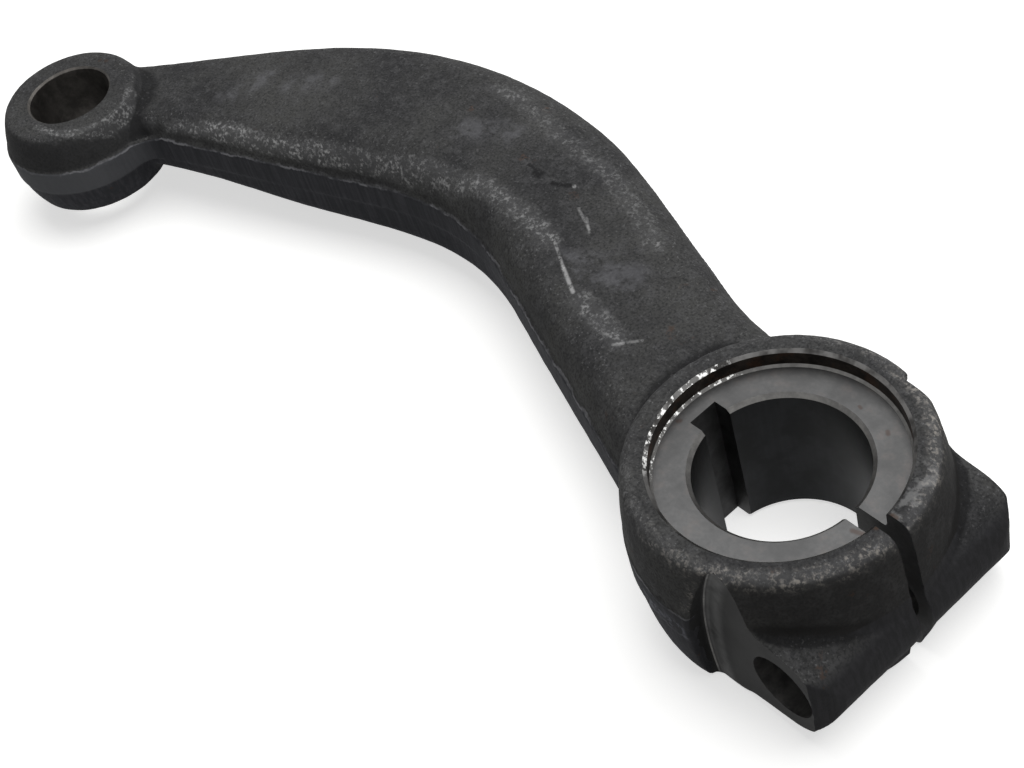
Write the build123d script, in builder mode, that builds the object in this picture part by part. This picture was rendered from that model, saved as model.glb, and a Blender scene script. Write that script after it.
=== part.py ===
from build123d import *
from math import cos, radians, sin, tan
import os

os.makedirs("parts", exist_ok=True)

# Steering arm: one drop forging with a split clamp hub at one end and a taper eye at the other.
# All sizes are in millimetres. The origin is on the hub bore axis at the hub's lower face.
# +Z runs up the bore to the counterbored face, +X runs out through the clamp slit and
# the pinch bolt lies along Y. The arm leaves the hub on the side away from the slit.

# Forging: everything is symmetrical about the level where the two dies meet.
hub_height = 45.0
parting_level = hub_height / 2
land_height = 8.0
land_proud = 0.3

# Hub
hub_radius = 37.6
hub_taper = 2.6
hub_rim_round = 3.2
bore_diameter = 40.0
bore_bevel = 1.0
counterbore_diameter = 58.0
counterbore_depth = 5.0
counterbore_bevel = 0.8
counterbore_corner = 0.6
keyway_width = 8.0
keyway_reach = 24.3
slit_width = 4.0

# Clamp ears, milled flat on the outside and cross bored for the pinch bolt
bolt_diameter = 17.0
bolt_inset = 10.6
bolt_offset = hub_radius - bolt_inset
bolt_level = 16.0
ear_flat_inset = 5.6
ear_flat_spacing = 2 * (hub_radius - ear_flat_inset)
ear_stock = 1.2
ear_root_blend = 2.5
ear_plan_round = 9.0
ear_root_level = 32.0
ear_foot_level = 0.4
ear_nose_radius = 12.6
ear_length = bolt_offset + ear_nose_radius
mill_radius = 85.0
near_mill_wall = 4.5
far_mill_wall = 1.2
mill_level = 13.0
mill_corner = 1.5

# Eye
eye_x = -272.5
eye_y = -29.8
eye_height = 29.0
eye_radius = 24.9
eye_top_taper = 4.3
eye_foot_taper = 3.2
eye_rim_round = 2.2
taper_mouth_diameter = 25.7
taper_end_diameter = 23.0
taper_depth = 18.0
eye_bevel = 0.6

# Arm, drawn from above by its two sides. Each side starts inside the hub, runs straight out
# beside the hub axis, bends once and runs straight on to the eye. The outer side takes the
# wider bend and flares where it leaves the hub.
arm_angle = 160.6
near_start = 20.0
near_inset = 8.1
near_offset = hub_radius - near_inset
near_straight = 110.6
near_bend_radius = 75.0
near_turn = 39.2
near_run_in = 104.6
far_offset_share = 0.465
far_offset = hub_radius * far_offset_share
far_flare_radius = 70.0
far_flare_turn = 33.0
far_flare_run_out = 22.4
far_flare_reach = hub_radius + far_flare_run_out
far_straight = 110.0
far_bend_radius = 143.0
far_turn = 58.9
far_run_in = 61.0
neck_start = 0.5
arm_upper_depth = 16.2
neck_upper_depth = 10.0
arm_lower_depth = 16.6
neck_lower_depth = 9.5
arm_upper_draft = 9.0
arm_lower_draft = 2.0
parting_round = 12.0
crown_height = 1.2
upper_shoulder_share = 0.62
lower_shoulder_round = 4.0
root_blend = 3.5
neck_blend = 3.0
land_root_round = 9.0
land_neck_round = 10.0

land_foot = parting_level - land_height / 2
eye_top = parting_level + eye_height / 2
eye_foot = parting_level - eye_height / 2

# Directions along the arm where it leaves the hub, and square to it towards the near side.
outward = Vector(cos(radians(arm_angle)), sin(radians(arm_angle)), 0)
nearward = Vector(-sin(radians(arm_angle)), cos(radians(arm_angle)), 0)

with BuildLine() as near_line:
    near_straight_end = nearward * near_offset + outward * near_straight
    Line(nearward * near_offset + outward * near_start, near_straight_end)
    near_bend = JernArc(near_straight_end, outward, near_bend_radius, near_turn)
    Line(near_bend @ 1, near_bend @ 1 + (near_bend % 1) * near_run_in)
near_side = near_line.wire()

with BuildLine() as far_line:
    flare_end = outward * far_flare_reach - nearward * far_offset
    far_straight_end = outward * far_straight - nearward * far_offset
    flare_angle = radians(far_flare_turn)
    flare_span = outward * sin(flare_angle) + nearward * (1 - cos(flare_angle))
    JernArc(flare_end - flare_span * far_flare_radius, outward.rotate(Axis.Z, far_flare_turn),
            far_flare_radius, -far_flare_turn)
    Line(flare_end, far_straight_end)
    far_bend = JernArc(far_straight_end, outward, far_bend_radius, far_turn)
    Line(far_bend @ 1, far_bend @ 1 + (far_bend % 1) * far_run_in)
far_side = far_line.wire()


def ease(share, start):
    """Share from 0 to 1 that begins at start and has no kink at either end."""
    step = max((share - start) / (1 - start), 0)
    return step * step * (3 - 2 * step)


# Body of the arm, carried through upright sections that each span from one side to the other
# and stand closer together near the hub, where the far side flares.
# The upper half drafts in to a broad rounded shoulder under a slight crown. The lower half is
# nearly upright down to a tighter round.
with BuildPart() as arm:
    for share in [(step / 12) ** 1.4 for step in range(13)]:
        near = near_side.position_at(share)
        far = far_side.position_at(share)
        half = (far - near).length / 2
        thinning = ease(share, neck_start)
        rise = arm_upper_depth + (neck_upper_depth - arm_upper_depth) * thinning
        drop = arm_lower_depth + (neck_lower_depth - arm_lower_depth) * thinning
        crown = parting_level + rise
        shoulder = crown - crown_height
        shoulder_half = half - (rise - crown_height) * tan(radians(arm_upper_draft))
        foot_half = half - drop * tan(radians(arm_lower_draft))
        foot = parting_level - drop
        across = (far - near).normalized()
        upright = Plane((near + far) / 2, x_dir=across, z_dir=across.cross(Vector(0, 0, 1)))
        with BuildSketch(upright) as section:
            with BuildLine():
                ThreePointArc((shoulder_half, shoulder), (0, crown), (-shoulder_half, shoulder))
                Polyline((-shoulder_half, shoulder), (-half, parting_level), (-foot_half, foot),
                         (foot_half, foot), (half, parting_level), (shoulder_half, shoulder))
            make_face()
            fillet(section.vertices().group_by(Axis.Y)[-1], upper_shoulder_share * rise)
            fillet(section.vertices().group_by(Axis.Y)[0], lower_shoulder_round)
            fillet(section.vertices().group_by(Axis.X)[0], parting_round)
            fillet(section.vertices().group_by(Axis.X)[-1], parting_round)
    loft()


def boss(radius, top_taper, foot_taper, rim_round, foot, top):
    """A round forged boss about Z, widest at the parting level and rounded at both rims."""
    with BuildPart() as body:
        with BuildSketch(Plane.XZ) as half_section:
            with BuildLine():
                Line((0, foot), (radius - foot_taper, foot))
                ThreePointArc((radius - foot_taper, foot), (radius, (foot + top) / 2),
                              (radius - top_taper, top))
                Polyline((radius - top_taper, top), (0, top), (0, foot))
            make_face()
            fillet(half_section.vertices().sort_by(Axis.X)[-2:], rim_round)
        revolve(axis=Axis.Z)
    return body.part


# Clamp ears: one block across the slit end of the hub, with a nose rounded about the bolt.
with BuildPart() as ears:
    with BuildSketch() as plan:
        Rectangle(ear_length, ear_flat_spacing + 2 * ear_stock, align=(Align.MIN, Align.CENTER))
        fillet(plan.vertices().group_by(Axis.X)[-1], ear_plan_round)
    extrude(amount=hub_height)
    with BuildSketch(Plane.XZ):
        with Locations((bolt_offset, bolt_level)):
            Circle(ear_nose_radius)
        with BuildLine():
            Line((0, ear_foot_level), (0, ear_root_level))
        make_hull()
    extrude(amount=ear_flat_spacing, both=True, mode=Mode.INTERSECT)

# Shape swept by the two spot facing cutters that flatten the ears for the bolt head and nut.
# The side of each cutter leaves a curved wall in the hub, with a small corner radius.
with BuildPart() as near_facing:
    with Locations((near_mill_wall + mill_radius, -ear_flat_spacing / 2, mill_level)):
        Cylinder(mill_radius, ear_flat_spacing, rotation=(90, 0, 0),
                 align=(Align.CENTER, Align.CENTER, Align.MIN))
    fillet(near_facing.edges().group_by(Axis.Y)[-1], mill_corner)

with BuildPart() as far_facing:
    with Locations((far_mill_wall + mill_radius, ear_flat_spacing / 2, mill_level)):
        Cylinder(mill_radius, ear_flat_spacing, rotation=(-90, 0, 0),
                 align=(Align.CENTER, Align.CENTER, Align.MIN))
    fillet(far_facing.edges().group_by(Axis.Y)[0], mill_corner)

with BuildPart() as steering_arm:
    # The arm, hub and eye are one forging, so each meets the next in a blended root.
    add(arm.part)
    add(boss(hub_radius, hub_taper, hub_taper, hub_rim_round, 0, hub_height))
    fillet(steering_arm.edges(Select.NEW), root_blend)
    with Locations((eye_x, eye_y)):
        add(boss(eye_radius, eye_top_taper, eye_foot_taper, eye_rim_round, eye_foot, eye_top))
    fillet(steering_arm.edges(Select.NEW), neck_blend)
    add(ears.part)
    fillet(steering_arm.edges(Select.NEW).filter_by_position(Axis.Z, bolt_level, hub_height),
           ear_root_blend)

    # Trimmed land: the sheared edge left where the flash was cut off, one level band that
    # stands slightly proud all round the outline of the forging.
    with BuildSketch(Plane.XY.offset(land_foot)) as outline:
        with BuildLine():
            add(near_side)
            add(far_side)
            Line(near_side @ 0, far_side @ 0)
            Line(near_side @ 1, far_side @ 1)
        make_face()
        Circle(hub_radius)
        with Locations((eye_x, eye_y)):
            Circle(eye_radius)
        fillet(outline.vertices().sort_by_distance((-hub_radius, 0))[:2], land_root_round)
        fillet(outline.vertices().sort_by_distance((eye_x, eye_y))[:2], land_neck_round)
        offset(amount=land_proud)
    extrude(amount=land_height)

    # Bore, counterbore and their bevels, all turned about the hub axis.
    bore_radius = bore_diameter / 2
    counterbore_radius = counterbore_diameter / 2
    counterbore_floor = hub_height - counterbore_depth
    with BuildSketch(Plane.XZ):
        Polygon((0, 0), (bore_radius + bore_bevel, 0), (bore_radius, bore_bevel),
                (bore_radius, counterbore_floor - bore_bevel),
                (bore_radius + bore_bevel, counterbore_floor),
                (counterbore_radius - counterbore_corner, counterbore_floor),
                (counterbore_radius, counterbore_floor + counterbore_corner),
                (counterbore_radius, hub_height - counterbore_bevel),
                (counterbore_radius + counterbore_bevel, hub_height), (0, hub_height), align=None)
    revolve(axis=Axis.Z, mode=Mode.SUBTRACT)

    # Keyway down one side of the bore, and the clamp slit opposite it.
    Box(keyway_reach, keyway_width, hub_height, align=(Align.MAX, Align.CENTER, Align.MIN),
        mode=Mode.SUBTRACT)
    Box(ear_length, slit_width, hub_height, align=(Align.MIN, Align.CENTER, Align.MIN),
        mode=Mode.SUBTRACT)

    add(near_facing.part, mode=Mode.SUBTRACT)
    add(far_facing.part, mode=Mode.SUBTRACT)

    # Cross hole for the pinch bolt.
    with Locations(Plane.XZ.offset(-ear_flat_spacing)):
        with Locations((bolt_offset, bolt_level)):
            Hole(bolt_diameter / 2)

    # Taper bore of the eye: it narrows down to a short parallel end.
    with BuildSketch(Plane.XZ.offset(-eye_y)):
        with Locations((eye_x, 0)):
            Polygon((0, eye_foot), (taper_end_diameter / 2 + eye_bevel, eye_foot),
                    (taper_end_diameter / 2, eye_foot + eye_bevel),
                    (taper_end_diameter / 2, eye_top - taper_depth),
                    (taper_mouth_diameter / 2, eye_top - eye_bevel),
                    (taper_mouth_diameter / 2 + eye_bevel, eye_top), (0, eye_top), align=None)
    revolve(axis=Axis((eye_x, eye_y, 0), (0, 0, 1)), mode=Mode.SUBTRACT)

steering_arm.part.label = "steering_arm"
export_step(steering_arm.part, "parts/steering_arm.step")
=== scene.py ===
import math

import bmesh
import bpy
from mathutils import Euler, Matrix, Vector


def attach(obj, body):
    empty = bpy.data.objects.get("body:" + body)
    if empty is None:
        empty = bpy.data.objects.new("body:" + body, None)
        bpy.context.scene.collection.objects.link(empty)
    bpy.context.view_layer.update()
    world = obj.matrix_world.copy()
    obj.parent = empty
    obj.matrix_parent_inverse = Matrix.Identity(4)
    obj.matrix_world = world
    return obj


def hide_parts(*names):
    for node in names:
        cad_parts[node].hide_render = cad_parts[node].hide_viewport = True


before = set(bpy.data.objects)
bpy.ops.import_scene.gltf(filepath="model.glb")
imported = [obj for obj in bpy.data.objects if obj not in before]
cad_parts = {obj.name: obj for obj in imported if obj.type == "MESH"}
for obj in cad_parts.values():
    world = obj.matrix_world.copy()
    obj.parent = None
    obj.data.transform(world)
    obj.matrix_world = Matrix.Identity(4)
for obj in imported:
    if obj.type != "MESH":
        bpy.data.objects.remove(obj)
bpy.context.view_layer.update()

# Camera: about 0.4 m off on the slit side of the hub and above it, so that the counterbore, both
# bores and the near flank of the arm are all in view.
camera = bpy.data.objects.new("photo_camera", bpy.data.cameras.new("photo_camera"))
camera.data.sensor_width = 36.0
camera.data.lens = 63.46
camera.data.clip_start = 0.01
stand = Vector((0.19675, -0.15583, 0.35264))
turned = Euler([math.radians(angle) for angle in (41.772, 12.94, 49.016)])
camera.matrix_world = Matrix.LocRotScale(stand, turned, None)
bpy.context.scene.collection.objects.link(camera)
bpy.context.scene.camera = camera
bpy.context.scene.view_settings.view_transform = "Standard"


# Studio: a matt white bench under one broad soft box hung overhead, a little behind the part,
# with weak light from all round. Seen straight on or in polished steel, bench and room are white.
def put(tree, kind, inputs=(), **settings):
    """Adds one node. Each input, by name or number, takes a value or another node's output."""
    made = tree.nodes.new(kind)
    for name, value in settings.items():
        setattr(made, name, value)
    for name, value in dict(inputs).items():
        if isinstance(value, bpy.types.NodeSocket):
            tree.links.new(value, made.inputs[name])
        else:
            made.inputs[name].default_value = value
    return made


def linear(code):
    """Turns an sRGB hex colour such as "3c3c3e" to linear red, green, blue and alpha."""
    parts = [int(code[at:at + 2], 16) / 255 for at in (0, 2, 4)]
    parts = [part / 12.92 if part <= 0.04045 else ((part + 0.055) / 1.055) ** 2.4
             for part in parts]
    return (*parts, 1.0)


def shown_directly(tree):
    """1 for a ray from the camera or off polished metal or glass, 0 for one that gives light."""
    path = put(tree, "ShaderNodeLightPath").outputs
    seen = put(tree, "ShaderNodeMath", {0: path["Is Camera Ray"], 1: path["Is Glossy Ray"]},
               operation="MAXIMUM").outputs[0]
    return put(tree, "ShaderNodeMath", {0: seen, 1: path["Is Transmission Ray"]},
               operation="MAXIMUM").outputs[0]


room = bpy.data.worlds.new("white_room")
room.use_nodes = True
tree = room.node_tree
tree.nodes.clear()
faint = put(tree, "ShaderNodeBackground", {"Color": linear("ffffff"), "Strength": 0.15})
white = put(tree, "ShaderNodeBackground", {"Color": linear("ffffff"), "Strength": 1.0})
either = put(tree, "ShaderNodeMixShader",
             {0: shown_directly(tree), 1: faint.outputs[0], 2: white.outputs[0]})
put(tree, "ShaderNodeOutputWorld", {"Surface": either.outputs[0]})
bpy.context.scene.world = room

# Bench paint: matt white emulsion, which gives the eye a plain field and a soft shadow. Where it
# is seen directly, a little glow lifts it to the white of the room.
bench_paint = bpy.data.materials.new("matt_white_bench")
bench_paint.use_nodes = True
tree = bench_paint.node_tree
tree.nodes.clear()
lit = put(tree, "ShaderNodeBsdfDiffuse", {"Color": linear("dcdcda")})
glow = put(tree, "ShaderNodeEmission", {"Color": linear("ffffff"), "Strength": 0.62})
both = put(tree, "ShaderNodeAddShader", {0: lit.outputs[0], 1: glow.outputs[0]})
either = put(tree, "ShaderNodeMixShader",
             {0: shown_directly(tree), 1: lit.outputs[0], 2: both.outputs[0]})
put(tree, "ShaderNodeOutputMaterial", {"Surface": either.outputs[0]})

MM = 0.001
bench_half = 3.0
bench_drop = 0.2 * MM
bench_mesh = bpy.data.meshes.new("bench")
bench_mesh.from_pydata([(x * bench_half, y * bench_half, -bench_drop)
                        for x, y in ((-1, -1), (1, -1), (1, 1), (-1, 1))], [], [(0, 1, 2, 3)])
bench_mesh.materials.append(bench_paint)
bench = bpy.data.objects.new("bench", bench_mesh)
bpy.context.scene.collection.objects.link(bench)

soft_box = bpy.data.lights.new("soft_box", "AREA")
soft_box.shape = "RECTANGLE"
soft_box.size = 1.4
soft_box.size_y = 1.0
soft_box.energy = 14.0
hung = bpy.data.objects.new("soft_box", soft_box)
hung.location = (-0.05, 0.35, 1.05)
hung.rotation_euler = (math.radians(-20), 0.0, 0.0)
bpy.context.scene.collection.objects.link(hung)


# Forging skin: medium carbon steel as it left the dies, under a dark scale dulled by tumbling.
# It is grey black and matt, mottled over a hand's width, grainy close to and rubbed pale on its
# crests. A dull surface gives back next to no highlight, so its specular level is low.
def new_finish(name):
    """A material with one Principled surface, and the place of each point on its piece in m."""
    made = bpy.data.materials.new(name)
    made.use_nodes = True
    tree = made.node_tree
    tree.nodes.clear()
    surface = put(tree, "ShaderNodeBsdfPrincipled")
    put(tree, "ShaderNodeOutputMaterial", {"Surface": surface.outputs[0]})
    return made, tree, surface, put(tree, "ShaderNodeTexCoord").outputs["Object"]


def where_all(tree, share, *others):
    """Shares multiplied together: 1 only where every one of them is 1."""
    for other in others:
        share = put(tree, "ShaderNodeMath", {0: share, 1: other}, operation="MULTIPLY").outputs[0]
    return share


def coat(tree, under, over, *shares):
    """One colour laid over another, as strongly as all the shares together allow."""
    return put(tree, "ShaderNodeMix", {0: where_all(tree, *shares), 6: under, 7: over},
               data_type="RGBA").outputs[2]


def fade(tree, where, axis, low, high, start=0.0, end=1.0, unit=MM):
    """A share that eases from start at low to end at high along one axis, in mm if not said."""
    along = put(tree, "ShaderNodeSeparateXYZ", {0: where}).outputs[axis]
    return put(tree, "ShaderNodeMapRange",
               {"Value": along, "From Min": low * unit, "From Max": high * unit,
                "To Min": start, "To Max": end}, interpolation_type="SMOOTHSTEP").outputs[0]


def mottle(tree, where, size, low, high, start=0.0, end=1.0, detail=3.0, rough=0.7):
    """Noise with lumps of a size in mm, eased so that its low gives start and its high end."""
    noise = put(tree, "ShaderNodeTexNoise", {"Vector": where, "Scale": 0.5 / (size * MM),
                                             "Detail": detail, "Roughness": rough}).outputs[0]
    return put(tree, "ShaderNodeMapRange",
               {"Value": noise, "From Min": low, "From Max": high, "To Min": start, "To Max": end},
               interpolation_type="SMOOTHSTEP").outputs[0]


def noted(tree, title, low, high, start=0.0, end=1.0):
    """A share that eases from start to end with what the die skin noted at each point."""
    note = put(tree, "ShaderNodeAttribute", attribute_name=title).outputs["Fac"]
    return put(tree, "ShaderNodeMapRange",
               {"Value": note, "From Min": low, "From Max": high, "To Min": start, "To Max": end},
               interpolation_type="SMOOTHSTEP").outputs[0]


def streak(tree, where, start, end, width):
    """1 along a straight line in plan between two points, fading out over its half width. All
    are in mm."""
    run = Vector((end[0] - start[0], end[1] - start[1], 0.0))
    flat = put(tree, "ShaderNodeVectorMath", {0: where, 1: (1.0, 1.0, 0.0)},
               operation="MULTIPLY").outputs[0]
    here = put(tree, "ShaderNodeVectorMath", {0: flat, 1: (start[0] * MM, start[1] * MM, 0.0)},
               operation="SUBTRACT").outputs[0]
    gone = put(tree, "ShaderNodeVectorMath", {0: here, 1: run.normalized()},
               operation="DOT_PRODUCT").outputs["Value"]
    kept = put(tree, "ShaderNodeMapRange", {"Value": gone, "From Max": run.length * MM,
                                            "To Max": run.length * MM}).outputs[0]
    foot = put(tree, "ShaderNodeVectorMath", {0: run.normalized(), "Scale": kept},
               operation="SCALE").outputs[0]
    away = put(tree, "ShaderNodeVectorMath", {0: here, 1: foot},
               operation="DISTANCE").outputs["Value"]
    return put(tree, "ShaderNodeMapRange",
               {"Value": away, "From Min": width * MM, "From Max": 0.25 * width * MM},
               interpolation_type="SMOOTHSTEP").outputs[0]


def marked(tree, where, colour, over, broken, runs):
    """Straight marks laid over a colour, each a start, an end, a width and a strength. A share
    says where they are broken up."""
    for start, end, width, strength in runs:
        colour = coat(tree, colour, linear(over), streak(tree, where, start, end, width),
                      broken, strength)
    return colour


forged, tree, surface, where = new_finish("tumbled_forging_scale")
normal = put(tree, "ShaderNodeNewGeometry").outputs["Normal"]
upward = fade(tree, normal, "Z", 0.6, 0.8, unit=1.0)
tilt = put(tree, "ShaderNodeVectorMath", {0: normal}, operation="ABSOLUTE").outputs[0]
upright = fade(tree, tilt, "Z", 0.75, 0.45, unit=1.0)

# Scale: broad blotches, lumps and grain. The real grain is finer than 0.1 mm, and it is drawn at
# 0.35 mm so that it shows.
colour = coat(tree, linear("373738"), linear("4a4a49"),
              mottle(tree, where, 14, 0.32, 0.68, detail=4.0, rough=0.6))
colour = coat(tree, colour, linear("535354"),
              mottle(tree, where, 1.7, 0.42, 0.7, 0.0, 0.6, detail=4.0, rough=0.65))
colour = coat(tree, colour, linear("262627"),
              mottle(tree, where, 0.35, 0.3, 0.6, 0.65, 0.0, detail=2.0, rough=0.6))

# Hollows: painted shade, a darker colour where the hub and the eye run into the arm.
colour = coat(tree, colour, linear("1e1e1f"), noted(tree, "crest", -0.08, -0.55), 0.75)

# Trimmed sides: bluish cut steel from the top of the die line down, wherever the side stands
# nearly upright, with fine shear lines that run down it. The band is paler round the eye.
squeezed = put(tree, "ShaderNodeVectorMath", {0: where, 1: (1.0, 1.0, 0.06)},
               operation="MULTIPLY").outputs[0]
cut_steel = coat(tree, linear("353639"), linear("434347"),
                 mottle(tree, squeezed, 0.6, 0.35, 0.7, rough=0.6))
cut_steel = coat(tree, cut_steel, linear("343437"),
                 mottle(tree, where, 1.7, 0.45, 0.7, 0.0, 0.4, detail=4.0, rough=0.65))
at_eye = fade(tree, where, "X", -243, -250)
cut_steel = coat(tree, cut_steel, linear("5c5d60"), at_eye, fade(tree, where, "Z", 18, 19), 0.8)
colour = coat(tree, colour, cut_steel, upright, fade(tree, where, "Z", 26.9, 26.4))

# Edge of the cut: a thin, ragged, broken painted highlight, with a darker flank above it at the
# eye.
wander = mottle(tree, where, 3, 0.3, 0.7, -0.45 * MM, 0.45 * MM)
lifted = put(tree, "ShaderNodeCombineXYZ", {2: wander}).outputs[0]
ragged = put(tree, "ShaderNodeVectorMath", {0: where, 1: lifted}, operation="ADD").outputs[0]
colour = coat(tree, colour, linear("8c8c90"), upright, fade(tree, ragged, "Z", 25.9, 26.3),
              fade(tree, ragged, "Z", 26.9, 26.5), fade(tree, where, "X", 12, 4),
              mottle(tree, where, 4, 0.40, 0.62, 0.1, 1.0, detail=4.0), 0.75)
colour = coat(tree, colour, linear("303031"), at_eye, upright,
              fade(tree, where, "Z", 26.8, 27.6), 0.7)

# Rubbed crests: pale specks where the skin is handled, along the shoulders of the arm and round
# the rims of the hub and eye, thickest on the side of the hub that the slit cuts. They are
# earthy there, with dirt in them.
handled = put(tree, "ShaderNodeAttribute", attribute_name="handled").outputs["Fac"]
handled = where_all(tree, handled, fade(tree, where, "X", -200, -130, 1.2, 0.7),
                    fade(tree, where, "Y", 26, 38, 1.0, 0.6))
narrow = put(tree, "ShaderNodeMapRange",
             {"Value": handled, "From Min": 0.95, "From Max": 1.2, "To Max": 0.65},
             interpolation_type="SMOOTHSTEP").outputs[0]
handled = put(tree, "ShaderNodeMix", {0: at_eye, 2: handled, 3: narrow}).outputs[0]
ends = put(tree, "ShaderNodeMath", {0: at_eye, 1: 0.02,
                                    2: fade(tree, where, "X", -40, 24, 0.05, 0.78)},
           operation="MULTIPLY_ADD").outputs[0]
at_an_end = put(tree, "ShaderNodeMath", {0: fade(tree, where, "X", -46, -36), 1: at_eye},
                operation="MAXIMUM").outputs[0]
rim = where_all(tree, noted(tree, "crest", 0.5, 1.3), ends, at_an_end)
rub = put(tree, "ShaderNodeMath", {0: rim, 1: handled}, operation="MAXIMUM").outputs[0]
rub = where_all(tree, rub, fade(tree, where, "Z", 28, 31))
rubbed = where_all(tree, rub, mottle(tree, where, 0.5, 0.44, 0.62, rough=0.6),
                   mottle(tree, where, 1.6, 0.40, 0.64, detail=4.0, rough=0.75))
colour = coat(tree, colour, linear("666667"), rub, 0.40)
colour = coat(tree, colour, linear("a6a6a6"), rubbed, 0.85)
colour = coat(tree, colour, linear("93836c"), rubbed, fade(tree, where, "X", -25, 10), 0.4)
colour = coat(tree, colour, linear("848485"), mottle(tree, where, 0.45, 0.56, 0.70),
              noted(tree, "proud", -0.02, 0.10, 0.4, 1.0), upward, 0.45)

# Knocks: bright scratches and dull smudges across the top of the arm, dark pits beside them, and
# a rough pale patch on the hub's rim beside the slit.
colour = marked(tree, where, colour, "c4c4c4",
                where_all(tree, mottle(tree, where, 0.8, 0.32, 0.55), upward), (
                    ((-99.5, 29.4), (-91.5, 25.8), 0.6, 0.25),
                    ((-95.6, 17.4), (-87.0, 12.6), 0.6, 0.40),
                    ((-87.4, 12.8), (-78.6, 8.3), 0.8, 0.55),
                    ((-57.5, 2.4), (-52.6, 7.5), 0.7, 0.25),
                    ((-107.0, 34.6), (-106.5, 34.3), 0.7, 0.50),
                    ((-95.2, 28.4), (-90.0, 24.6), 0.5, 0.20)))
colour = marked(tree, where, colour, "76767a",
                where_all(tree, mottle(tree, where, 3, 0.42, 0.62, detail=4.0), upward), (
                    ((-229, 2), (-226, 14), 6, 0.32), ((-215, 16), (-205, 22), 6, 0.32),
                    ((-150, 32), (-138, 38), 7, 0.32), ((-88, 14), (-70, 20), 8, 0.32)))
colour = marked(tree, where, colour, "171718",
                where_all(tree, mottle(tree, where, 0.9, 0.38, 0.55, 0.3, 1.0), upward), (
                    ((-119.6, 32.2), (-118.0, 32.0), 2.2, 0.75),
                    ((-108.6, 33.3), (-108.0, 33.9), 1.3, 0.75),
                    ((-112.6, 32.0), (-110.0, 32.6), 1.1, 0.75),
                    ((-123.5, 33.0), (-121.0, 33.0), 0.8, 0.75)))
colour = marked(tree, where, colour, "8e8e8e",
                where_all(tree, mottle(tree, where, 1.6, 0.46, 0.60, rough=0.6), upward), (
                    ((29.0, 14.0), (31.0, 5.5), 6.5, 0.45),))

# Rust: a few brown flecks where the scale has lifted and at the corners of the slit, and a stain
# on the side of the far ear.
rust = where_all(tree, mottle(tree, where, 5, 0.68, 0.74, rough=0.65),
                 mottle(tree, where, 0.35, 0.40, 0.55, detail=2.0, rough=0.6))
for start, end, width in (
        ((-21.0, 29.0), (-18.0, 30.5), 1.6), ((28.5, -2.2), (30.0, -2.2), 1.0),
        ((30.5, 2.3), (31.5, 2.3), 0.9)):
    fleck = where_all(tree, streak(tree, where, start, end, width), upward)
    rust = put(tree, "ShaderNodeMath", {0: rust, 1: fleck}, operation="MAXIMUM").outputs[0]
colour = coat(tree, colour, linear("4e392c"), rust, 0.5)
colour = marked(tree, where, colour, "503528", fade(tree, where, "Z", 32, 29),
                (((31.8, 12.2), (34.8, 9.1), 1.3, 0.5),))

# Scuffs: bluish white rub marks on the flank of the hub beside the near ear. Painted shade
# darkens the upright front of the hub, between and below the clamp ears.
scuffed = where_all(tree, fade(tree, where, "Z", 16, 18.5), fade(tree, where, "Z", 25, 21.5),
                    mottle(tree, where, 1.2, 0.45, 0.62, detail=4.0))
colour = marked(tree, where, colour, "84868f", scuffed, (((-9.4, -36.4), (2.8, -37.5), 1.6, 0.6),))
colour = coat(tree, colour, linear("262524"), upright, fade(tree, where, "X", -8, 14), 0.55)
tree.links.new(colour, surface.inputs["Base Color"])
sheen = put(tree, "ShaderNodeMath", {0: rubbed, 1: -0.32, 2: 0.78}, operation="MULTIPLY_ADD")
tree.links.new(sheen.outputs[0], surface.inputs["Roughness"])
surface.inputs["Specular IOR Level"].default_value = 0.04

# Pock marks too small for the mesh: the same lumps and grain as a bump.
lumps = put(tree, "ShaderNodeTexNoise", {"Vector": where, "Scale": 0.5 / (1.7 * MM),
                                         "Detail": 4.0, "Roughness": 0.65}).outputs[0]
grain = put(tree, "ShaderNodeTexNoise", {"Vector": where, "Scale": 0.5 / (0.35 * MM),
                                         "Detail": 2.0, "Roughness": 0.6}).outputs[0]
height = put(tree, "ShaderNodeMath", {0: lumps, 1: 1.5, 2: grain}, operation="MULTIPLY_ADD")
bump = put(tree, "ShaderNodeBump", {"Height": height.outputs[0], "Distance": 0.12 * MM,
                                    "Strength": 0.8})
tree.links.new(bump.outputs[0], surface.inputs["Normal"])


# Machined steel: the same medium carbon steel cut bare, dulled by handling and a first bloom of
# oxide. Real feed marks are about 0.1 mm apart, and they are drawn at 0.5 mm so that they show.
def machined(name, pale, dark, size, rough, lines=(1.0, 1.0, 1.0), patchy=0.15, rusty=0.0,
             own_marks=None):
    """Bare machined steel: mottled between two colours in lumps of a size in mm, with tool
    lines, some rust and any marks of its own."""
    made, tree, surface, where = new_finish(name)
    colour = coat(tree, linear(dark), linear(pale),
                  mottle(tree, where, size, 0.5 - patchy, 0.5 + patchy, detail=4.0, rough=0.65))
    drawn = put(tree, "ShaderNodeVectorMath", {0: where, 1: lines},
                operation="MULTIPLY").outputs[0]
    colour = coat(tree, colour, linear(dark),
                  mottle(tree, drawn, 0.5, 0.35, 0.7, 0.3, 0.0, detail=2.0, rough=0.5))
    colour = coat(tree, colour, linear("6a4a36"),
                  mottle(tree, where, 2.5, 0.50, 0.66, detail=4.0), rusty)
    if own_marks:
        colour = own_marks(tree, where, colour)
    tree.links.new(colour, surface.inputs["Base Color"])
    surface.inputs["Metallic"].default_value = 1.0
    surface.inputs["Roughness"].default_value = rough
    return made


counterbore_floor = 40.0
mill_x = {"near": 89.5, "far": 86.2}
mill_z = 13.0
flat_half = 32.0


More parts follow.
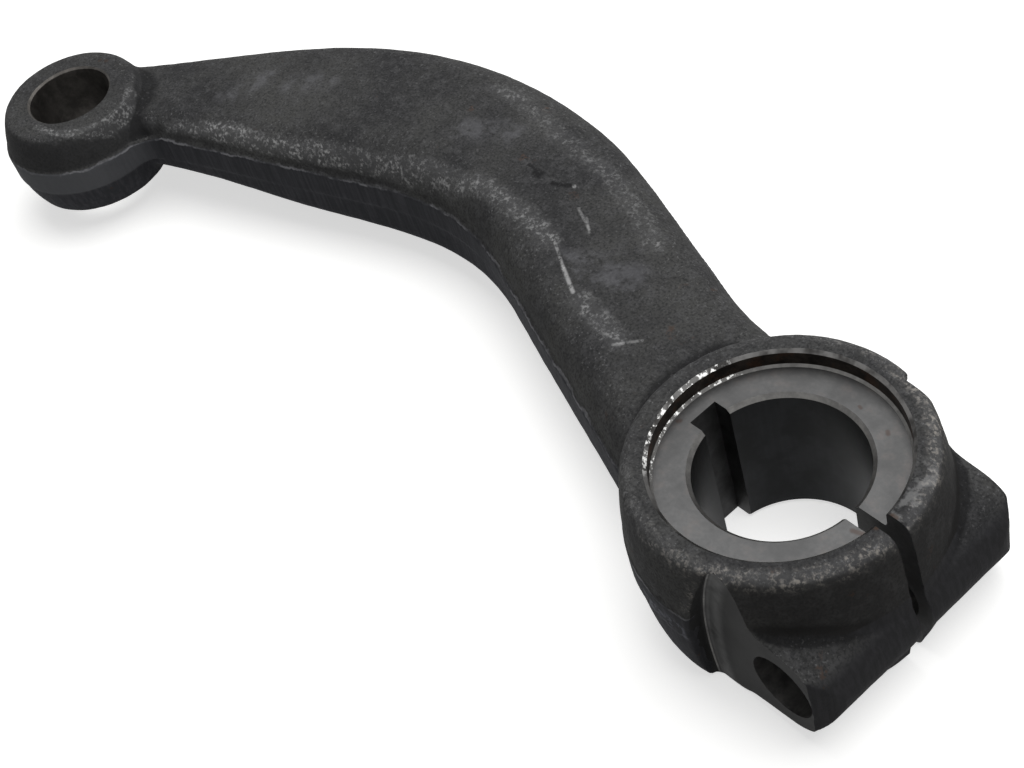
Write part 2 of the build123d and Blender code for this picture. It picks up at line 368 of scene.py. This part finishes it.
def brown_dots(tree, where, colour):
    """A few spots of rust that handling left on the counterbore's floor."""
    return marked(tree, where, colour, "382820", 1.0, (
        ((-26.8, -5.4), (-26.5, -5.0), 0.9, 0.45), ((12.0, 21.4), (12.6, 20.9), 0.8, 0.45),
        ((2.4, 23.0), (3.0, 22.8), 0.6, 0.45), ((24.0, -3.4), (26.5, -2.6), 0.9, 0.45)))


def swept_ring(tree, where, colour):
    """The paler ring that the mill's corner swept on each ear, beside the wall it left."""
    across = put(tree, "ShaderNodeSeparateXYZ", {0: where}).outputs["Y"]
    middle = put(tree, "ShaderNodeMapRange",
                 {"Value": across, "From Min": -flat_half * MM, "From Max": flat_half * MM,
                  "To Min": mill_x["near"] * MM, "To Max": mill_x["far"] * MM}).outputs[0]
    centre = put(tree, "ShaderNodeCombineXYZ", {0: middle, 1: across, 2: mill_z * MM}).outputs[0]
    away = put(tree, "ShaderNodeVectorMath", {0: where, 1: centre},
               operation="DISTANCE").outputs["Value"]
    from_axis = put(tree, "ShaderNodeCombineXYZ", {0: away}).outputs[0]
    return coat(tree, colour, linear("4a4a4a"), fade(tree, from_axis, "X", 79, 82),
                fade(tree, from_axis, "X", 84.9, 84),
                mottle(tree, where, 2, 0.25, 0.6, 0.4, 0.9, rough=0.6))


def painted_glints_at_foot(tree, where, colour):
    """Painted glints: white specks at the foot of the counterbore's wall, on the side towards the
    arm.
    """
    return coat(tree, colour, linear("f0f0ee"),
                mottle(tree, where, 0.6, 0.54, 0.64, rough=0.6),
                fade(tree, where, "X", -18, -22), fade(tree, where, "Y", 18, 12),
                fade(tree, where, "Z", counterbore_floor, counterbore_floor + 0.15))


# Each cut as the tool left it. The turned floor of the counterbore is the palest and dulls the
# room to an even grey; its wall is browned by old rust; the bores keep dark cutting oil.
faced = machined("faced_counterbore_floor", "535353", "424242", 5, 0.5, patchy=0.22, rusty=0.05,
                 own_marks=brown_dots)
turned_wall = machined("turned_counterbore_wall", "4a443f", "2b2826", 3, 0.5, rusty=0.3)
bored = machined("bored_steel_wall", "202123", "161718", 4, 0.45, (1.0, 1.0, 0.05))

# Small chamfers catch the light. Slit, keyway and ear flats are dull, with coarse tool lines,
# and the drilled and reamed holes are lighter and a little yellow inside.
# The bevel at the counterbore's foot carries painted glints on the side towards the arm.
bevelled = machined("bevelled_corner", "6e6d6b", "5a5958", 2, 0.45, own_marks=painted_glints_at_foot)
broached = machined("broached_and_sawn_steel", "3e3e3f", "2c2c2c", 3, 0.55)
milled = machined("milled_ear_face", "202020", "181818", 4, 0.65, (1.0, 1.0, 0.06),
                  own_marks=swept_ring)
drilled = machined("drilled_steel_wall", "5c5b59", "3c3b3b", 3, 0.5, (1.0, 0.05, 1.0))
tapered = machined("reamed_taper_wall", "5c5956", "3e3c3a", 3, 0.5)

# Deburred edge of the counterbore: a chamfer broken with a hand tool, dull for most of its length,
# with painted glints, white in short runs, on the side towards the arm.
deburred, tree, surface, where = new_finish("deburred_edge")
chamfer = coat(tree, linear("3c3b3a"), linear("6e6d6c"),
               mottle(tree, where, 3, 0.38, 0.62, rough=0.6))
chamfer = coat(tree, chamfer, linear("f2f2f0"), mottle(tree, where, 0.7, 0.52, 0.62, rough=0.6),
               fade(tree, where, "X", -17, -22), fade(tree, where, "Y", 14, 8))
tree.links.new(chamfer, surface.inputs["Base Color"])
surface.inputs["Metallic"].default_value = 1.0
surface.inputs["Roughness"].default_value = 0.4
finishes = [forged, faced, turned_wall, bored, deburred, broached, milled, drilled, tapered,
            bevelled]
FACED, TURNED, BORED, EDGE, BROACHED, MILLED, DRILLED, TAPERED, BEVEL = range(1, len(finishes))


# Forging: the whole arm is one drop forging in medium carbon steel, struck between two dies.
# It is made here as the blank before machining: the solid with its bores, slit and flats filled,
# remeshed evenly and given the uneven skin of the dies.
def flat_walls(blank, level, out):
    """The faces that lie across Y at a level in mm and face towards out."""
    near = 0.02 * MM
    return [face for face in blank.faces
            if abs(face.calc_center_median().y - level * MM) < near and face.normal.y * out > 0.99]


def fill(blank, walls, step):
    """Fills a flat-walled gap: a copy of its wall is carried across it along Y, in mm."""
    copied = bmesh.ops.duplicate(blank, geom=walls)["geom"]
    walls = [part for part in copied if isinstance(part, bmesh.types.BMFace)]
    far = bmesh.ops.extrude_face_region(blank, geom=walls, use_keep_orig=True)["geom"]
    far = [part for part in far if isinstance(part, bmesh.types.BMVert)]
    bmesh.ops.translate(blank, verts=far, vec=(0, step * MM, 0))


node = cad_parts["steering_arm"]
blank = bmesh.new()
blank.from_mesh(node.data)
bmesh.ops.remove_doubles(blank, verts=blank.verts, dist=0.001 * MM)
blank.normal_update()
slit_half = 2.0
mill_stock = 1.0
gaps = ((flat_walls(blank, slit_half, -1), -2 * slit_half),
        (flat_walls(blank, -flat_half, -1), -mill_stock),
        (flat_walls(blank, flat_half, 1), mill_stock))
for walls, step in gaps:
    fill(blank, walls, step)

# Plugs: a cylinder fills each round hole and reaches a little into the steel round it. Each is
# a radius, a height and the place of its middle.
hub_top = 45.0
counterbore_radius = 29.0
bolt_radius = 8.5
eye_low, eye_high = 8.0, 37.0
to_eye = Matrix.Translation((-272.5 * MM, -29.8 * MM, 0))
to_bolt = Matrix.Translation((27 * MM, 0, 16 * MM)) @ Matrix.Rotation(math.pi / 2, 4, "X")
to_middle = Matrix.Translation((0, 0, hub_top / 2 * MM))
for radius, height, place_at in (
        (counterbore_radius + 1.5, hub_top, to_middle),
        (14.2, eye_high - eye_low, to_eye @ to_middle),
        (bolt_radius + 0.8, 2 * flat_half, to_bolt)):
    bmesh.ops.create_cone(blank, cap_ends=True, segments=96, radius1=radius * MM,
                          radius2=radius * MM, depth=height * MM, matrix=place_at)
blank_mesh = bpy.data.meshes.new("blank")
blank.to_mesh(blank_mesh)
blank.free()
for finish in finishes:
    blank_mesh.materials.append(finish)
forging = bpy.data.objects.new("forging", blank_mesh)
bpy.context.scene.collection.objects.link(forging)

remesh = forging.modifiers.new("even_mesh", "REMESH")
remesh.mode = "VOXEL"
remesh.voxel_size = 0.62 * MM
relax = forging.modifiers.new("relax", "SMOOTH")
relax.factor = 0.5
relax.iterations = 3

# Die skin: the blank's surface is moved along its own normal by slow waves, small lumps and
# scattered pits, and each point notes how far it stands proud, which is where it gets rubbed.
skin = bpy.data.node_groups.new("die_skin", "GeometryNodeTree")
skin.interface.new_socket("Blank", in_out="INPUT", socket_type="NodeSocketGeometry")
named = {}
for title, kind in (("Wave height", "Float"), ("Wave length", "Float"), ("Lump height", "Float"),
                    ("Lump size", "Float"), ("Pit depth", "Float"), ("Pit size", "Float"),
                    ("Seed", "Float"), ("Handled lines", "Object"), ("Finish", "Material")):
    named[title] = skin.interface.new_socket(title, in_out="INPUT",
                                             socket_type="NodeSocket" + kind).identifier
skin.interface.new_socket("Forging", in_out="OUTPUT", socket_type="NodeSocketGeometry")
given = put(skin, "NodeGroupInput").outputs
spot = put(skin, "GeometryNodeInputPosition").outputs[0]
outward = put(skin, "GeometryNodeInputNormal").outputs[0]


def skin_noise(size, detail):
    """Noise on the blank with lumps of a size, kept the same each time by the seed."""
    scale = put(skin, "ShaderNodeMath", {0: 0.5, 1: given[size]}, operation="DIVIDE").outputs[0]
    return put(skin, "ShaderNodeTexNoise", {"Vector": spot, "W": given["Seed"], "Scale": scale,
                                            "Detail": detail}, noise_dimensions="4D").outputs[0]


def skin_height(noise, height):
    """Noise about one half, made a height either side of nought."""
    centred = put(skin, "ShaderNodeMath", {0: noise, 1: 0.5}, operation="SUBTRACT").outputs[0]
    return where_all(skin, centred, 2.0, given[height])


def standing_out(rounds):
    """How far, in mm, each point stands out from the blank evened over a number of rounds."""
    evened = put(skin, "GeometryNodeBlurAttribute", {"Value": spot, "Iterations": rounds},
                 data_type="FLOAT_VECTOR").outputs[0]
    lift = put(skin, "ShaderNodeVectorMath", {0: spot, 1: evened}, operation="SUBTRACT").outputs[0]
    out = put(skin, "ShaderNodeVectorMath", {0: lift, 1: outward}, operation="DOT_PRODUCT")
    return where_all(skin, out.outputs["Value"], 1 / MM)


wave = skin_height(skin_noise("Wave length", 1.0), "Wave height")
lump = skin_height(skin_noise("Lump size", 3.0), "Lump height")
pitted = put(skin, "ShaderNodeMapRange",
             {"Value": skin_noise("Pit size", 1.0), "From Min": 0.66, "From Max": 0.80},
             interpolation_type="SMOOTHSTEP").outputs[0]
pit = where_all(skin, pitted, given["Pit depth"])
total = put(skin, "ShaderNodeMath", {0: wave, 1: lump}, operation="ADD").outputs[0]
total = put(skin, "ShaderNodeMath", {0: total, 1: pit}, operation="SUBTRACT").outputs[0]
shift = put(skin, "ShaderNodeVectorMath", {0: outward, "Scale": total}, operation="SCALE")
moved = put(skin, "GeometryNodeSetPosition",
            {"Geometry": given["Blank"], "Offset": shift.outputs[0]}).outputs[0]

level = put(skin, "ShaderNodeVectorMath", {0: spot, 1: (1.0, 1.0, 0.0)},
            operation="MULTIPLY").outputs[0]
lines = put(skin, "GeometryNodeObjectInfo", {"Object": given["Handled lines"]})
near_line = put(skin, "GeometryNodeProximity",
                {"Target": lines.outputs["Geometry"], "Source Position": level},
                target_element="EDGES").outputs["Distance"]
touched = put(skin, "ShaderNodeMapRange",
              {"Value": near_line, "From Min": 4.2 * MM, "From Max": 0.8 * MM},
              interpolation_type="SMOOTHSTEP").outputs[0]
annotated = moved
for title, value in (("proud", standing_out(14)), ("crest", standing_out(120)),
                     ("handled", touched)):
    annotated = put(skin, "GeometryNodeStoreNamedAttribute",
                    {"Geometry": annotated, "Name": title, "Value": value},
                    data_type="FLOAT", domain="POINT").outputs[0]
whole = put(skin, "GeometryNodeRealizeInstances", {0: annotated}).outputs[0]
clad = put(skin, "GeometryNodeSetMaterial",
           {"Geometry": whole, "Material": given["Finish"]}).outputs[0]
put(skin, "NodeGroupOutput", {0: clad})

# Where the arm has been handled, in mm in plan: the crests of its two shoulders, a short run at
# its root, and the near side of the eye's rim.
HANDLED = (
    ((-237.3, -17.2), (-228.9, -12.7), (-217.7, -7.2), (-205.4, -4.6), (-192.7, 0.4),
     (-179.9, 5.6), (-169, 9.1), (-155.1, 14.7), (-145.7, 17.3), (-138.8, 17.8), (-127.5, 20.9),
     (-114.3, 19.6), (-103.6, 19), (-96.5, 17)),
    ((-154.6, 49), (-147, 50), (-131.1, 47.3), (-115.6, 44.4), (-102.4, 43.2), (-92.2, 39.8),
     (-82.4, 36.9), (-73.8, 32.1)),
    ((-74.9, 7.8), (-66.2, 5.9), (-58, 4)),
    ((-267.8, -44.9), (-260.7, -42.7), (-255.9, -40), (-252.4, -35.5), (-250.8, -30.1),
     (-251.2, -25), (-253.2, -20.3), (-257.2, -16.3)))
corners = []
links = []
for line in HANDLED:
    links += [(len(corners) + at, len(corners) + at + 1) for at in range(len(line) - 1)]
    corners += [(x * MM, y * MM, 0.0) for x, y in line]
handled_mesh = bpy.data.meshes.new("handled_lines")
handled_mesh.from_pydata(corners, links, [])
handled_lines = bpy.data.objects.new("handled_lines", handled_mesh)
bpy.context.scene.collection.objects.link(handled_lines)
dies = forging.modifiers.new("die_skin", "NODES")
dies.node_group = skin
for title, value in (("Wave height", 0.22 * MM), ("Wave length", 11 * MM),
                     ("Lump height", 0.12 * MM), ("Lump size", 2.2 * MM),
                     ("Pit depth", 0.22 * MM), ("Pit size", 1.8 * MM), ("Seed", 4.0),
                     ("Handled lines", handled_lines), ("Finish", forged)):
    dies[named[title]] = value
thin = forging.modifiers.new("fewer_faces", "DECIMATE")
thin.ratio = 0.42


# Machining: the bore, counterbore, keyway, clamp slit, ear flats, bolt hole and taper bore are
# cut into the rough forging, so their edges stay crisp against its skin.
def close_cutter(name, cutter, place_at):
    """Puts a cutter in its place, faced outwards, and makes it cut the forging."""
    bmesh.ops.transform(cutter, matrix=place_at, verts=cutter.verts)
    bmesh.ops.recalc_face_normals(cutter, faces=cutter.faces)
    mesh = bpy.data.meshes.new(name)
    cutter.to_mesh(mesh)
    cutter.free()
    for finish in finishes:
        mesh.materials.append(finish)
    made = bpy.data.objects.new(name, mesh)
    bpy.context.scene.collection.objects.link(made)
    cut = forging.modifiers.new(name, "BOOLEAN")
    cut.operation = "DIFFERENCE"
    cut.solver = "MANIFOLD"
    cut.object = made
    return made


def swept_round(name, profile, place_at, around=192):
    """A closed cutter turned about an axis. Each corner is a radius, a height and the finish
    of the face that follows it; the first and last corners lie on the axis."""
    cutter = bmesh.new()
    rings = []
    for radius, height, finish in profile:
        turns = [step * math.tau / around for step in range(around if radius else 1)]
        rings.append([cutter.verts.new((radius * MM * math.cos(turn),
                                        radius * MM * math.sin(turn), height * MM))
                      for turn in turns])
    for (radius, height, finish), ring, other in zip(profile, rings, rings[1:]):
        for step in range(around):
            after = (step + 1) % around
            corners = [ring[step % len(ring)], ring[after % len(ring)],
                       other[after % len(other)], other[step % len(other)]]
            cutter.faces.new(list(dict.fromkeys(corners))).material_index = finish
    return close_cutter(name, cutter, place_at)


def block(name, low, high, finish):
    """A closed box cutter between two corners."""
    cutter = bmesh.new()
    middle = [(a + b) / 2 * MM for a, b in zip(low, high)]
    spans = [(b - a) * MM for a, b in zip(low, high)]
    bmesh.ops.create_cube(cutter, size=1.0)
    for face in cutter.faces:
        face.material_index = finish
    return close_cutter(name, cutter, Matrix.Translation(middle) @ Matrix.Diagonal(spans + [1.0]))


# Hub: a plain bore with a bevel at each end, and a counterbore whose wall has a small bevel at
# its foot and a deburred edge. Cutters run past the skin, so that nothing is left standing.
past = 2.0
bore_radius = 20.0
bevel = 1.0
foot = 0.6
deburring = 0.8
cutters = [swept_round("hub_bore", (
    (0, -past, BORED), (bore_radius + bevel + past, -past, BEVEL),
    (bore_radius, bevel, BORED), (bore_radius, counterbore_floor - bevel, BEVEL),
    (bore_radius + bevel, counterbore_floor, FACED),
    (counterbore_radius - foot, counterbore_floor, BEVEL),
    (counterbore_radius, counterbore_floor + foot, TURNED),
    (counterbore_radius, hub_top - deburring, EDGE),
    (counterbore_radius + deburring + past, hub_top + past, TURNED),
    (0, hub_top + past, TURNED)), Matrix.Identity(4))]
key_reach, key_half = 24.3, 4.0
past_the_ears = 60.0
cutters.append(block("keyway", (-key_reach, -key_half, -past), (0, key_half, hub_top + 1),
                     BROACHED))
cutters.append(block("slit", (0, -slit_half, -past), (past_the_ears, slit_half, hub_top + 1),
                     BROACHED))

# Ear flats: each is milled with a big cutter whose rounded corner leaves a curved wall on the
# hub. One strip of that corner is a painted highlight: it takes the paler finish of a drilled
# hole.
mill_radius = 85.0
mill_corner = 1.5
mill_height = 64.0
corner = []
for step in range(7):
    turn = step * math.pi / 12
    corner.append((mill_radius - mill_corner + mill_corner * math.sin(turn),
                   mill_corner - mill_corner * math.cos(turn), DRILLED if step == 3 else MILLED))
for side, way in (("near", -1), ("far", 1)):
    cutters.append(swept_round(
        side + "_facing",
        [(0, 0, MILLED)] + corner + [(mill_radius, mill_height, MILLED), (0, mill_height, MILLED)],
        Matrix.Translation((mill_x[side] * MM, way * flat_half * MM, mill_z * MM))
        @ Matrix.Rotation(-way * math.pi / 2, 4, "X"), 480))
bolt_reach = 50.0
cutters.append(swept_round("bolt_hole", (
    (0, -bolt_reach, DRILLED), (bolt_radius, -bolt_reach, DRILLED),
    (bolt_radius, bolt_reach, DRILLED), (0, bolt_reach, DRILLED)), to_bolt, 96))

# Eye: a bore that is straight at the bottom and opens in a taper for a ball stud, with a bevel
# at each end.
eye_radius = 11.5
taper_start = 19.0
taper_mouth = 12.85
cutters.append(swept_round("taper_bore", (
    (0, eye_low - past, TAPERED), (eye_radius + foot + past, eye_low - past, BEVEL),
    (eye_radius, eye_low + foot, TAPERED), (eye_radius, taper_start, TAPERED),
    (taper_mouth, eye_high - foot, TAPERED), (taper_mouth + foot + past, eye_high + past, TAPERED),
    (0, eye_high + past, TAPERED)), to_eye, 128))

cut_forging = bpy.data.meshes.new_from_object(
    forging.evaluated_get(bpy.context.evaluated_depsgraph_get()))
bpy.data.objects.remove(forging)
bpy.data.objects.remove(handled_lines)
for cutter in cutters:
    bpy.data.objects.remove(cutter)
cut_forging.name = "steering_arm_forging"

# Smooth over the skin and round the bores, with a sharp line wherever a tool met the skin.
sharp = math.radians(28)
shading = bmesh.new()
shading.from_mesh(cut_forging)
for face in shading.faces:
    face.smooth = True
for edge in shading.edges:
    if len(edge.link_faces) == 2:
        one, two = edge.link_faces
        tooled = one.material_index > 0 or two.material_index > 0
        if one.material_index != two.material_index or (
                tooled and edge.calc_face_angle(0.0) > sharp):
            edge.smooth = False
shading.to_mesh(cut_forging)
shading.free()
arm = bpy.data.objects.new("steering_arm_forging", cut_forging)
bpy.context.scene.collection.objects.link(arm)
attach(arm, "root")
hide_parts("steering_arm")
